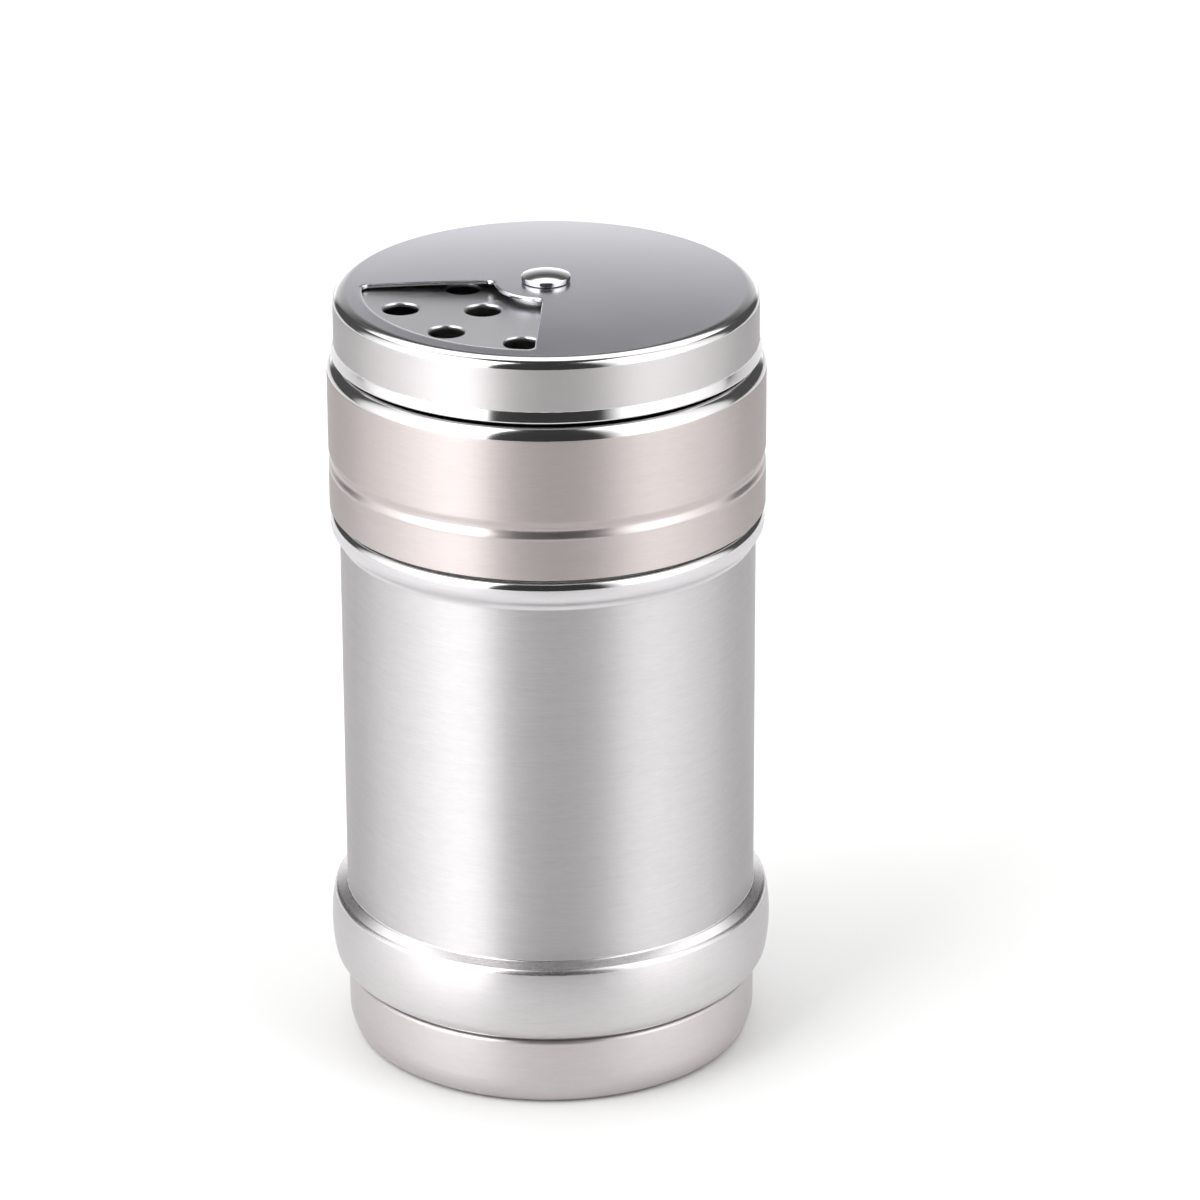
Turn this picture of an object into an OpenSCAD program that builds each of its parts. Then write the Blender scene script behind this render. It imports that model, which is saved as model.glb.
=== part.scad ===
// Steel spice shaker: a jar with a pressed-in base, a screwed lid with a perforated top,
// and a windowed cover that turns on a rivet. Z is up, the foot stands on Z = 0.

/* [Jar] */
// Outer diameter of the jar's sleeve
sleeve_d = 49.6; // [40:0.2:64]
// Height of the jar from its foot to the top of the stop bead
jar_h = 68; // [50:0.5:100]
// Sheet thickness of the jar
jar_t = 0.5; // [0.4:0.05:0.6]
// How far the stop bead stands out of the sleeve
bead_out = 1.05; // [0.8:0.05:1.4]
// Height of the stop bead
bead_h = 4.1; // [3.9:0.1:6]
// Radius at the upper edge of the stop bead
bead_r = 1.2; // [0.9:0.1:1.6]
// How far the neck is drawn in from the sleeve
neck_in = 2; // [1.5:0.1:3]
// Height of the neck above the stop bead
neck_h = 9.2; // [7:0.1:12]
// Radius of the rolled lip
lip_r = 0.75; // [0.65:0.05:0.9]

/* [Lower ring and base] */
// Height of the lower ring's edge above the foot
ring_z = 9; // [7:0.5:14]
// Height of the lower ring, from its edge to the crease
ring_h = 10.1; // [9:0.1:14]
// How far the two ends of the ring's bowed side stand out of the sleeve
ring_out = 1.58; // [1.3:0.02:2.4]
// Angle by which the ring's side curves in at each end
ring_curve = 11; // [4:1:16]
// Radius at the ring's upper edge
ring_top_r = 1; // [0.8:0.1:2.2]
// Radius at the ring's lower edge
ring_edge_r = 2.2; // [1.8:0.1:2.4]
// Sheet thickness of the base cup
base_t = 0.5; // [0.4:0.05:0.6]
// Radius at the base cup's lower edge
base_edge_r = 0.9; // [0.7:0.1:1.5]
// Radius by which the base cup's side curves in above that edge
base_side_r = 5.4; // [3:0.2:8]
// Angle by which the base cup's side curves in
base_side_turn = 30; // [10:1:45]
// Height of the base cup's upper part that is pressed into the sleeve
seat_h = 3; // [2:0.5:6]
// Width of the round foot
foot_w = 2.8; // [2:0.1:5]
// How far the middle of the base is raised
panel_rise = 1; // [0.5:0.1:2]

/* [Lid] */
// How far the collar stands out of the sleeve
collar_out = 1.15; // [0.9:0.05:1.6]
// Height of the collar
collar_h = 18.85; // [16:0.05:26]
// Sheet thickness of the lid
lid_t = 0.5; // [0.4:0.05:0.6]
// Radius at the collar's shoulder
shoulder_r = 2; // [1.2:0.1:2.4]
// Height of the rolled groove above the collar's lower edge
groove_z = 5; // [3.5:0.1:7]
// Height of the rolled groove
groove_h = 2.4; // [1.4:0.1:2.6]
// Depth of the rolled groove
groove_depth = 0.35; // [0.2:0.05:0.5]
// Height of the perforated top above the collar's shoulder
sifter_h = 7.3; // [6:0.05:10]
// Radius at the edge of the perforated top
sifter_edge_r = 1.2; // [1.2:0.1:2]

/* [Holes of the perforated top] */
// Diameter of the coarse holes
coarse_d = 4.2; // [3:0.1:4.6]
// Width of the burnished edge of the coarse holes
coarse_edge = 0.18; // [0.1:0.02:0.2]
// Distance from the coarse holes' outer row to the edge of the top
coarse_margin = 6.5; // [5:0.1:7]
// Radius of the coarse holes' inner row
coarse_inner_r = 9.8; // [8.2:0.1:10]
// Angle between neighbouring coarse holes of the outer row
coarse_step = 31; // [26:1:36]
// Angle of the first coarse hole of the outer row
coarse_turn = 168; // [0:0.5:360]
// Number of coarse holes in the outer row
coarse_count = 4; // [2:1:4]
// Angle of the first coarse hole of the inner row
coarse_inner_turn = 173.5; // [0:0.5:360]
// Angle between neighbouring coarse holes of the inner row
coarse_inner_step = 48; // [40:1:60]
// Number of coarse holes in the inner row
coarse_inner_count = 2; // [1:1:2]
// Diameter of the fine holes
fine_d = 1.6; // [1:0.1:2]
// Least distance between the middles of the fine holes
fine_pitch = 2.7; // [2.6:0.1:4]
// Number of rows of fine holes
fine_rows = 4; // [2:1:4]
// Angle that the fine holes take up
fine_span = 84; // [60:1:88]
// Angle of the middle of the fine holes
fine_turn = 330; // [0:1:360]

/* [Turning cover] */
// Sheet thickness of the cover
cover_t = 0.4; // [0.3:0.05:0.5]
// How far the cover's skirt is in from the collar's side
cover_in = 0.85; // [0.6:0.05:1.2]
// How far the cover's top rises from its edge to its middle
cover_crown = 0.75; // [0.5:0.05:1.2]
// Radius at the cover's edge
cover_edge_r = 1.15; // [1:0.05:1.6]
// Radius by which the cover's top bends down to that edge
cover_bend_r = 2.4; // [1.8:0.1:3.2]
// Angle that the window takes up
window_span = 88; // [60:1:90]
// Angle of the window's middle
window_turn = 222.3; // [0:0.1:360]
// Radius of the hub that the window leaves round the rivet
hub_r = 6.1; // [5.8:0.1:7]
// Width of the rim that the window leaves at the cover's edge
window_rim = 3.5; // [3:0.1:5]
// Radius of the window's corners
window_corner_r = 0.9; // [0.5:0.1:1.5]
// Height of the hem at the cover's lower edge
hem_h = 0.2; // [0.2:0.05:0.6]
// How far the hem is flared out from the skirt
flare_out = 0.3; // [0.2:0.05:0.5]
// Radius of the flare
flare_r = 2.4; // [1.4:0.1:3]

/* [Rivet and washers] */
// Diameter of the rivet's shank
rivet_d = 3; // [2.4:0.1:3.6]
// Diameter of the rivet's head
rivet_head_d = 5.8; // [5:0.1:7]
// Height of the rivet's head
rivet_head_h = 1.1; // [0.8:0.1:1.5]
// Outer diameter of the spring washer
spring_d = 9; // [8:0.1:11]
// Sheet thickness of the spring washer
spring_t = 0.25; // [0.2:0.05:0.35]
// Gap between the spring washer's hole and the rivet
spring_gap = 0.3; // [0.2:0.05:0.5]
// Outer diameter of the backing washer
backing_d = 8.4; // [7:0.1:10]
// Thickness of the backing washer
backing_t = 0.6; // [0.4:0.1:1]

/* [Thread insert and seal] */
// Room between the neck and the insert, which the thread fills
thread_room = 1.1; // [0.8:0.1:1.4]
// Thickness of the insert's inner flange
flange_t = 1; // [0.8:0.1:1.5]
// Thickness of the sealing ring
seal_t = 1.2; // [1:0.1:1.6]
// Width of the sealing ring
seal_w = 2.1; // [1.6:0.1:2.6]
// How far the insert's flange stays short of the sealing ring's hole
seal_lap = 0.2; // [0.1:0.1:0.5]

/* [Clearances] */
// Gap between the lower ring's edge and the base cup's side
ring_gap = 0.15; // [0.1:0.05:0.3]
// Height between the lower ring's edge and the base cup's shoulder
base_gap = 0.35; // [0.2:0.05:0.6]
// Gap between the stop bead and the collar
stop_gap = 0.3; // [0.2:0.05:0.6]
// Gap between the collar's shoulder and the cover's lower edge
seam_gap = 0.3; // [0.3:0.05:0.8]
// Gap between the cover's skirt and the side of the perforated top
cover_gap = 0.3; // [0.25:0.05:0.5]
// Gap between the cover's edge and the perforated top below it
top_gap = 0.15; // [0.15:0.05:0.5]
// Running gap round the rivet, and under its head
rivet_gap = 0.05; // [0.03:0.01:0.1]
// Gap on each flat side of the sealing ring
seal_gap = 0.05; // [0.03:0.01:0.1]

/* [Hidden] */

steel = [0.78, 0.78, 0.79];
warm_steel = [0.80, 0.77, 0.76];
polished_steel = [0.86, 0.86, 0.88];
plastic = [0.93, 0.93, 0.90];
rubber = [0.88, 0.88, 0.86];
cut = 1; // how far a cutter reaches past what it cuts

// Radii
sleeve_r = sleeve_d / 2;
neck_r = sleeve_r - neck_in;
base_r = sleeve_r;
collar_r = sleeve_r + collar_out;
cover_r = collar_r - cover_in;
sifter_r = cover_r - cover_t - cover_gap;
hem_r = cover_r + flare_out;
rivet_r = rivet_d / 2;
window_r = cover_r - window_rim;

// Heights
crease_z = ring_z + ring_h;
collar_z = jar_h + stop_gap;
shoulder_z = collar_z + collar_h;
plate_z = shoulder_z + sifter_h;
cover_z = shoulder_z + seam_gap;
cover_top = plate_z + top_gap + cover_t;
hub_z = cover_top + cover_crown;
neck_top = jar_h + neck_h;
seal_z = neck_top + seal_gap;
flange_z = seal_z + seal_t + seal_gap;

// Points of an arc about [x, y], from angle a to angle b
function arc(x, y, r, a, b, n = 6) =
    [for (i = [0:n]) let (t = a + (b - a) * i / n) [x + r * cos(t), y + r * sin(t)]];

// Unit vector to the left of the way from p to q
function left(p, q) = let (d = q - p) [-d[1], d[0]] / norm(d);

// The path moved to its left by t, with its corners kept
function moved(path, t) = let (last = len(path) - 1) [for (i = [0:last])
    let (a = left(path[max(i - 1, 0)], path[max(i, 1)]))
    let (b = left(path[min(i, last - 1)], path[min(i + 1, last)]))
    path[i] + t * (a + b) / (1 + a * b)];

function reversed(path) = [for (i = [len(path) - 1:-1:0]) path[i]];

// The path without points that repeat the one before them
function distinct(path) =
    [for (i = [0:len(path) - 1]) if (i == 0 || norm(path[i] - path[max(i - 1, 0)]) > 0.001) path[i]];

// Outline of a sheet whose outer face follows the path, with its thickness to the left
function sheet(path, t) = let (face = distinct(path)) concat(face, reversed(moved(face, t)));

// Outward step from radius x0 to x1 above height z0: a hollow arc r0, then a round one r1
function step_out(x0, x1, z0, r0, r1, n = 5) =
    let (turn = acos(1 - (x1 - x0) / (r0 + r1)))
    let (z1 = z0 + (r0 + r1) * sin(turn))
    concat(
        [for (i = [0:n]) let (t = turn * i / n) [x0 + r0 * (1 - cos(t)), z0 + r0 * sin(t)]],
        [for (i = [n - 1:-1:0]) let (t = turn * i / n) [x1 - r1 * (1 - cos(t)), z1 - r1 * sin(t)]]
    );

// Inward step from radius x1 to x0 above height z0: a round arc r1, then a hollow one r0
function step_in(x1, x0, z0, r1, r0, n = 5) =
    let (step = step_out(x0, x1, 0, r0, r1, n))
    let (rise = step[len(step) - 1][1])
    [for (p = reversed(step)) [p[0], z0 + rise - p[1]]];

// Jar: lower ring with its edge turned in, crease, sleeve, stop bead, neck and rolled lip
ring_slope = 64;
ring_side_r = sleeve_r + ring_out;
ring_low_x = ring_side_r - ring_edge_r * cos(ring_curve);
ring_turn = acos((base_r + ring_gap - ring_low_x) / ring_edge_r);
ring_low_z = ring_z + ring_edge_r * sin(ring_turn);
ring_top_x = ring_side_r - ring_top_r * cos(ring_curve);
ring_top_end = ring_top_x + ring_top_r * cos(ring_slope);
ring_top_z = crease_z - (ring_top_end - sleeve_r) / tan(ring_slope) - ring_top_r * sin(ring_slope);
ring_bow_low = ring_low_z - ring_edge_r * sin(ring_curve);
ring_bow_high = ring_top_z + ring_top_r * sin(ring_curve);
ring_bow_r = (ring_bow_high - ring_bow_low) / (2 * sin(ring_curve));
ring_bow_x = ring_side_r - ring_bow_r * cos(ring_curve);
ring_bow_z = (ring_bow_high + ring_bow_low) / 2;
bead_step_r = 1.6;
bead_low_r = 1.5;
neck_foot_r = 0.6;
lip_turn = 200;

function jar_path() = concat(
    arc(ring_low_x, ring_low_z, ring_edge_r, -ring_turn, -ring_curve),
    arc(ring_bow_x, ring_bow_z, ring_bow_r, -ring_curve, ring_curve),
    arc(ring_top_x, ring_top_z, ring_top_r, ring_curve, ring_slope),
    [[sleeve_r, crease_z]],
    step_out(sleeve_r, sleeve_r + bead_out, jar_h - bead_h, bead_step_r, bead_low_r),
    arc(sleeve_r + bead_out - bead_r, jar_h - bead_r, bead_r, 0, 90),
    arc(neck_r + neck_foot_r, jar_h + neck_foot_r, neck_foot_r, 270, 180),
    arc(neck_r - lip_r, neck_top - lip_r, lip_r, 0, lip_turn, 10)
);

module jar_shell() {
    color(steel) rotate_extrude() polygon(sheet(jar_path(), jar_t));
}

// Base: raised middle, round foot, curved side, and a narrower part pressed into the sleeve
base_offset = base_side_r - base_edge_r;
foot_r = base_r - base_side_r + base_offset * cos(base_side_turn);
base_side_z = base_edge_r + base_offset * sin(base_side_turn);
seat_r = sleeve_r - jar_t;
seat_edge_r = base_t + 0.05;
seat_foot_r = 0.2;
seat_turn = acos(1 - (base_r - seat_r) / (seat_edge_r + seat_foot_r));
seat_z = ring_z - base_gap - (seat_edge_r + seat_foot_r) * sin(seat_turn);

function base_path() = concat(
    [[0, panel_rise], [foot_r - foot_w - 2 * panel_rise, panel_rise], [foot_r - foot_w, 0]],
    arc(foot_r, base_edge_r, base_edge_r, -90, -base_side_turn),
    arc(base_r - base_side_r, base_side_z, base_side_r, -base_side_turn, 0),
    step_in(base_r, seat_r, seat_z, seat_edge_r, seat_foot_r),
    [[seat_r, crease_z + seat_h]]
);

module base_cup() {
    color(warm_steel) rotate_extrude() polygon(sheet(base_path(), base_t));
}

// Lid: collar with its rolled groove, shoulder, and the perforated top
sifter_foot_r = 0.4;

function collar_side(n = 8) = concat(
    [[collar_r, collar_z]],
    [for (i = [0:n]) [collar_r - groove_depth * (1 - cos(360 * i / n)) / 2,
        collar_z + groove_z + groove_h * i / n]]
);

function lid_path() = concat(
    collar_side(),
    step_in(collar_r, sifter_r, shoulder_z - shoulder_r, shoulder_r, sifter_foot_r),
    arc(sifter_r - sifter_edge_r, plate_z - sifter_edge_r, sifter_edge_r, 0, 90),
    [[rivet_r, plate_z]]
);

// A hole in the perforated top, with a burnished upper edge
module coarse_hole() {
    translate([0, 0, plate_z - lid_t - cut]) cylinder(d = coarse_d, h = lid_t + 2 * cut, $fn = 40);
    translate([0, 0, plate_z - coarse_edge])
        cylinder(d1 = coarse_d, d2 = coarse_d + 4 * coarse_edge, h = 2 * coarse_edge, $fn = 40);
}

module coarse_row(radius, start, step, count) {
    for (i = [0:count - 1]) rotate(start + step * i) translate([radius, 0, 0]) coarse_hole();
}

module fine_holes() {
    inner = coarse_inner_r;
    outer = sifter_r - coarse_margin;
    for (row = [0:fine_rows - 1]) {
        radius = inner + (outer - inner) * row / (fine_rows - 1);
        count = floor(radius * fine_span * PI / 180 / fine_pitch);
        for (i = [0:count]) rotate(fine_turn + fine_span * (i / count - 0.5))
            translate([radius, 0, plate_z - lid_t - cut])
                cylinder(d = fine_d, h = lid_t + 2 * cut, $fn = 24);
    }
}

module lid_shell() {
    color(warm_steel) difference() {
        rotate_extrude() polygon(sheet(lid_path(), lid_t));
        coarse_row(sifter_r - coarse_margin, coarse_turn, coarse_step, coarse_count);
        coarse_row(coarse_inner_r, coarse_inner_turn, coarse_inner_step, coarse_inner_count);
        fine_holes();
    }
}

// Insert: moulded ring inside the collar, with a bore for the thread and a flange for the seal
insert_lift = 0.7;
insert_drop = 0.2;
lead_in = 0.6;
flange_slope = 2;
bore_r = neck_r + thread_room;
seal_r = bore_r - cover_gap;
flange_r = seal_r - seal_w + seal_lap;
throat_r = sifter_r - lid_t;
insert_top = shoulder_z - shoulder_r - insert_drop;

function insert_side() =
    let (face = moved(concat(collar_side(), [[collar_r, shoulder_z - shoulder_r]]), lid_t))
    let (last = len(face) - 2)
    concat(
        [[face[0][0], collar_z + insert_lift]],
        [for (i = [1:last]) face[i]],
        [[face[last][0], insert_top]]
    );

module thread_insert() {
    color(plastic) rotate_extrude() polygon(concat(
        insert_side(),
        [[throat_r, insert_top], [throat_r, flange_z + flange_t + flange_slope]],
        [[flange_r, flange_z + flange_t], [flange_r, flange_z], [bore_r, flange_z]],
        [[bore_r, collar_z + insert_lift + lead_in], [bore_r + lead_in, collar_z + insert_lift]]
    ));
}

module sealing_ring() {
    edge = 0.25;
    color(rubber) rotate_extrude() polygon([
        [seal_r - seal_w + edge, seal_z], [seal_r - edge, seal_z], [seal_r, seal_z + edge],
        [seal_r, seal_z + seal_t - edge], [seal_r - edge, seal_z + seal_t],
        [seal_r - seal_w + edge, seal_z + seal_t], [seal_r - seal_w, seal_z + seal_t - edge],
        [seal_r - seal_w, seal_z + edge]
    ]);
}

// Rivet: domed head over the cover, shank, and a tail clenched on the backing washer
tail_out = 0.9;
tail_r = rivet_r + tail_out;
tail_h = 0.7;
tail_top = plate_z - lid_t - backing_t;
head_z = hub_z + rivet_gap;
head_edge = 0.4;
head_r = rivet_head_d / 2;
dome_h = rivet_head_h - head_edge;
dome_r = (head_r * head_r + dome_h * dome_h) / (2 * dome_h);
dome_turn = asin(head_r / dome_r);

module rivet() {
    color(polished_steel) rotate_extrude() polygon(concat(
        [[0, tail_top - tail_h], [tail_r - tail_h / 2, tail_top - tail_h]],
        arc(tail_r - tail_h / 2, tail_top - tail_h / 2, tail_h / 2, -60, 90),
        [[rivet_r, tail_top], [rivet_r, head_z], [head_r, head_z]],
        arc(0, head_z + rivet_head_h - dome_r, dome_r, 90 - dome_turn, 90, 8)
    ));
}

module backing_washer() {
    color(steel) difference() {
        translate([0, 0, tail_top]) cylinder(d = backing_d, h = backing_t, $fn = 60);
        translate([0, 0, tail_top - cut]) cylinder(r = rivet_r, h = backing_t + 2 * cut, $fn = 60);
    }
}

// Dished washer that presses the cover up against the rivet's head
module spring_washer() {
    bore = rivet_r + spring_gap;
    top = hub_z - cover_t - rivet_gap - crown_drop(bore);
    color(steel) rotate_extrude() polygon([
        [bore, top - spring_t], [spring_d / 2, plate_z],
        [spring_d / 2, plate_z + spring_t], [bore, top]
    ]);
}

// Cover: flared hem, skirt, rounded edge and crowned top, with the window cut out
edge_turn = 60;
flat_r = cover_r - cover_edge_r - (cover_bend_r - cover_edge_r) * cos(edge_turn);
edge_z = cover_top - cover_bend_r + (cover_bend_r - cover_edge_r) * sin(edge_turn);
flare_turn = acos(1 - flare_out / flare_r);
flare_top = cover_z + hem_h + flare_r * sin(flare_turn);

function crown_drop(r) = cover_crown * pow(r / flat_r, 2);

function crown(n = 10) = [for (i = [n - 1:-1:0])
    let (r = rivet_r + rivet_gap + (flat_r - rivet_r - rivet_gap) * i / n)
    [r, hub_z - crown_drop(r)]];

function cover_path() = concat(
    [[hem_r, cover_z]],
    arc(cover_r + flare_r, flare_top, flare_r, 180 + flare_turn, 180),
    arc(cover_r - cover_edge_r, edge_z, cover_edge_r, 0, edge_turn),
    arc(flat_r, cover_top - cover_bend_r, cover_bend_r, edge_turn, 90),
    crown()
);

// Outline of the window: a sector of a ring with round corners
function window_outline() =
    let (half = window_span / 2, c = window_corner_r)
    let (far = half - asin(c / (window_r - c)), near = half - asin(c / (hub_r + c)))
    let (out_x = (window_r - c) * cos(far), out_y = (window_r - c) * sin(far))
    let (in_x = (hub_r + c) * cos(near), in_y = (hub_r + c) * sin(near))
    concat(
        arc(0, 0, window_r, -far, far, 20),
        arc(out_x, out_y, c, far, half + 90),
        arc(in_x, in_y, c, half + 90, near + 180),
        arc(0, 0, hub_r, near, -near, 12),
        arc(in_x, -in_y, c, 180 - near, 270 - half),
        arc(out_x, -out_y, c, -half - 90, -far)
    );

module rotating_cover() {
    color(polished_steel) difference() {
        rotate_extrude() polygon(sheet(cover_path(), cover_t));
        rotate(window_turn) translate([0, 0, plate_z + top_gap / 2])
            linear_extrude(height = cover_crown + cover_t + top_gap + cut)
                polygon(window_outline());
    }
}

jar_shell();
base_cup();
sealing_ring();
lid_shell();
thread_insert();
backing_washer();
spring_washer();
rivet();
rotating_cover();
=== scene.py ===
import math

import bpy
from mathutils import Matrix, Vector


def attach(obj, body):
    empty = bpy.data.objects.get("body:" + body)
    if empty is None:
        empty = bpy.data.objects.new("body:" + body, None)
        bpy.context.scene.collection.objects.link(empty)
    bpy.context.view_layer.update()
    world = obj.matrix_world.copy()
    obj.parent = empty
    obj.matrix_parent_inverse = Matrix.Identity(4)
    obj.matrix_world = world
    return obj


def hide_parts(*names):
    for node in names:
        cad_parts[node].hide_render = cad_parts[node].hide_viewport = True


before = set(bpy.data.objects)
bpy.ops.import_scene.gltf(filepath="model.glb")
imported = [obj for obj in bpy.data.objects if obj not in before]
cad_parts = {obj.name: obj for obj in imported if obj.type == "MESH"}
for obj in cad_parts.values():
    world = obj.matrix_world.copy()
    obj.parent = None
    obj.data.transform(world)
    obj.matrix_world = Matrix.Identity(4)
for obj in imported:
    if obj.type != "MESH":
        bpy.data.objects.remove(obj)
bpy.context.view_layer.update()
mm = 0.001  # sizes below are in mm and angles in degrees
scene = bpy.context.scene
scene.view_settings.view_transform = "Standard"
print("frame loaded:", len(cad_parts), "nodes")


# small helpers

weldDistance = 0.0005  # points closer than this become one
shortestMove = 0.0001  # a drawn line leaves out steps shorter than this
cutEdgeAngle = 60  # edges of a wall that turn by more than this are rounded
smoothAngle = 35  # faces that turn by less than this are shaded as one surface
upShare = 0.5  # how much facing up counts beside facing away from the axis


def cosine(angle):
    return math.cos(math.radians(angle))


def sine(angle):
    return math.sin(math.radians(angle))


def tangent(angle):
    return math.tan(math.radians(angle))


def clearSelection():
    if bpy.context.object and bpy.context.object.mode != "OBJECT":
        bpy.ops.object.mode_set(mode="OBJECT")
    bpy.ops.object.select_all(action="DESELECT")


def makeActive(piece):
    clearSelection()
    piece.select_set(True)
    bpy.context.view_layer.objects.active = piece


def nameNew(name):
    piece = bpy.context.object
    piece.name = name
    piece.data.name = name
    return piece


def turnInPlace(piece, angle):
    # turned about the shaker's axis, with the turn kept in the mesh
    piece.rotation_euler[2] = math.radians(angle)
    bpy.ops.object.transform_apply(location=False, rotation=True, scale=False)


def arcPath(x, z, radius, fromAngle, toAngle, steps):
    angles = [fromAngle + (toAngle - fromAngle) * i / steps for i in range(steps + 1)]
    return [(x + radius * cosine(a), z + radius * sine(a)) for a in angles]


def stepOut(lowRadius, highRadius, z, hollow, rounding, steps=8):
    # an S that widens going up: a hollow and then a rounding, which meet at one slope
    turn = math.degrees(math.acos(1 - (highRadius - lowRadius) / (hollow + rounding)))
    top = z + (hollow + rounding) * sine(turn)
    middle = lowRadius + hollow
    start = [(2 * middle - x, y) for x, y in arcPath(middle, z, hollow, 0, turn, steps)]
    return start + arcPath(highRadius - rounding, top, rounding, -turn, 0, steps)


def stepIn(highRadius, lowRadius, z, rounding, hollow, steps=8):
    # the same S the other way up
    up = stepOut(lowRadius, highRadius, 0, hollow, rounding, steps)
    return [(x, z + up[-1][1] - y) for x, y in reversed(up)]


def drawPath(points, close=False):
    # one vertex, extruded from point to point; edit mode stays on
    bpy.ops.mesh.primitive_plane_add(size=mm, location=(0, 0, 0))
    bpy.ops.object.mode_set(mode="EDIT")
    bpy.ops.mesh.select_mode(type="VERT")
    bpy.ops.mesh.merge(type="CENTER")
    here = Vector((0, 0, 0))
    for index, point in enumerate(points):
        there = Vector(point) * mm
        if index == 0:
            bpy.ops.transform.translate(value=there - here)
        elif (there - here).length > shortestMove * mm:
            bpy.ops.mesh.extrude_region_move(TRANSFORM_OT_translate={"value": there - here})
        here = there
    bpy.ops.mesh.select_all(action="SELECT")
    if close:
        bpy.ops.mesh.edge_face_add()


def turnPath(name, path, columns, startAngle=0):
    # a path of (radius, height) points turned round the shaker's axis
    clearSelection()
    drawPath([(r, 0, z) for r, z in path])
    bpy.ops.mesh.spin(steps=columns, angle=2 * math.pi, center=(0, 0, 0), axis=(0, 0, 1))
    bpy.ops.mesh.select_all(action="SELECT")
    bpy.ops.mesh.remove_doubles(threshold=weldDistance * mm)
    bpy.ops.mesh.normals_make_consistent(inside=False)
    bpy.ops.object.mode_set(mode="OBJECT")
    piece = nameNew(name)
    if startAngle:
        turnInPlace(piece, startAngle)
    widest = max(piece.data.polygons, key=lambda face: face.center.xy.length)
    if widest.normal.xy.dot(widest.center.xy) < 0:  # an open shell can come out facing inwards
        bpy.ops.object.mode_set(mode="EDIT")
        bpy.ops.mesh.flip_normals()
        bpy.ops.object.mode_set(mode="OBJECT")
    return piece


def addModifier(piece, kind, **settings):
    makeActive(piece)
    modifier = piece.modifiers.new(kind.title(), kind)
    for key, value in settings.items():
        setattr(modifier, key, value)
    bpy.ops.object.modifier_apply(modifier=modifier.name)


def roundEdges(piece, width, angle):
    addModifier(piece, "BEVEL", width=width * mm, segments=2, limit_method="ANGLE",
                angle_limit=math.radians(angle), use_clamp_overlap=True)


def giveWall(piece, size):
    # the drawn surface is the outer one, so the sheet grows inwards
    addModifier(piece, "SOLIDIFY", thickness=size["wall"] * mm, offset=-1, use_even_offset=True)
    roundEdges(piece, size["cutEdge"], cutEdgeAngle)


def smooth(piece, angle=smoothAngle):
    makeActive(piece)
    bpy.ops.object.shade_smooth_by_angle(angle=math.radians(angle))


def weighNormals(piece):
    # large flat faces keep their own normal beside small rounded ones
    addModifier(piece, "WEIGHTED_NORMAL", mode="FACE_AREA", weight=50, keep_sharp=True)


def selectParts(piece, kind, test):
    # kind is FACE or VERT; edit mode stays on
    makeActive(piece)
    bpy.ops.object.mode_set(mode="EDIT")
    bpy.ops.mesh.select_mode(type=kind)
    bpy.ops.mesh.select_all(action="DESELECT")
    bpy.ops.object.mode_set(mode="OBJECT")
    for part in piece.data.polygons if kind == "FACE" else piece.data.vertices:
        part.select = test(part)
    bpy.ops.object.mode_set(mode="EDIT")


def selectVertices(piece, test):
    selectParts(piece, "VERT", lambda vertex: test(vertex.co / mm))


def finishBands(piece, base, bands):
    # base finish all over, then bands on the outer faces: (finish, lowest, highest, smallest radius)
    piece.data.materials.clear()
    piece.data.materials.append(base)
    for finish, low, high, nearest in bands:
        piece.data.materials.append(finish)
        piece.active_material_index = len(piece.data.materials) - 1

        def inBand(face):
            place, normal = face.center / mm, face.normal
            radius = place.xy.length
            outwards = normal.x * place.x + normal.y * place.y + normal.z * radius * upShare
            return low <= place.z <= high and radius >= nearest and outwards > 0

        selectParts(piece, "FACE", inBand)
        bpy.ops.object.material_slot_assign()
        bpy.ops.object.mode_set(mode="OBJECT")


def cutWith(piece, cutters):
    clearSelection()
    for cutter in cutters:
        cutter.select_set(True)
    bpy.context.view_layer.objects.active = cutters[0]
    if len(cutters) > 1:
        bpy.ops.object.join()
    tool = bpy.context.object
    addModifier(piece, "BOOLEAN", operation="DIFFERENCE", solver="EXACT", object=tool)
    bpy.data.objects.remove(tool)


def finishPiece(piece, body, slot, *nodes):
    if nodes:
        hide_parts(*nodes)
    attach(piece, body)
    print("made", piece.name, len(piece.data.polygons), "faces")


# camera

cameraPlace = {"elevation": 23.37, "distance": 709.6, "aimHeight": 45.66, "roll": -0.447,
               "lens": 176.6, "sensor": 36, "shiftX": 0.0425, "shiftY": 0.0606,
               "nearest": 10, "farthest": 20000}


def addCamera(place):
    rise = place["elevation"]
    back, up = place["distance"] * mm * cosine(rise), place["distance"] * mm * sine(rise)
    bpy.ops.object.camera_add(location=(0, -back, place["aimHeight"] * mm + up))
    camera = bpy.context.object
    tilt = Matrix.Rotation(math.radians(90 - rise), 4, "X")
    camera.rotation_euler = (tilt @ Matrix.Rotation(math.radians(place["roll"]), 4, "Z")).to_euler()
    camera.data.lens, camera.data.sensor_width = place["lens"], place["sensor"]
    camera.data.shift_x, camera.data.shift_y = place["shiftX"], place["shiftY"]
    camera.data.clip_start, camera.data.clip_end = place["nearest"] * mm, place["farthest"] * mm
    scene.camera = camera


addCamera(cameraPlace)


# node tree helpers

def newMaterial(name):
    material = bpy.data.materials.new(name)
    material.use_nodes = True
    tree = material.node_tree
    tree.nodes.clear()
    return material, tree


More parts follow.
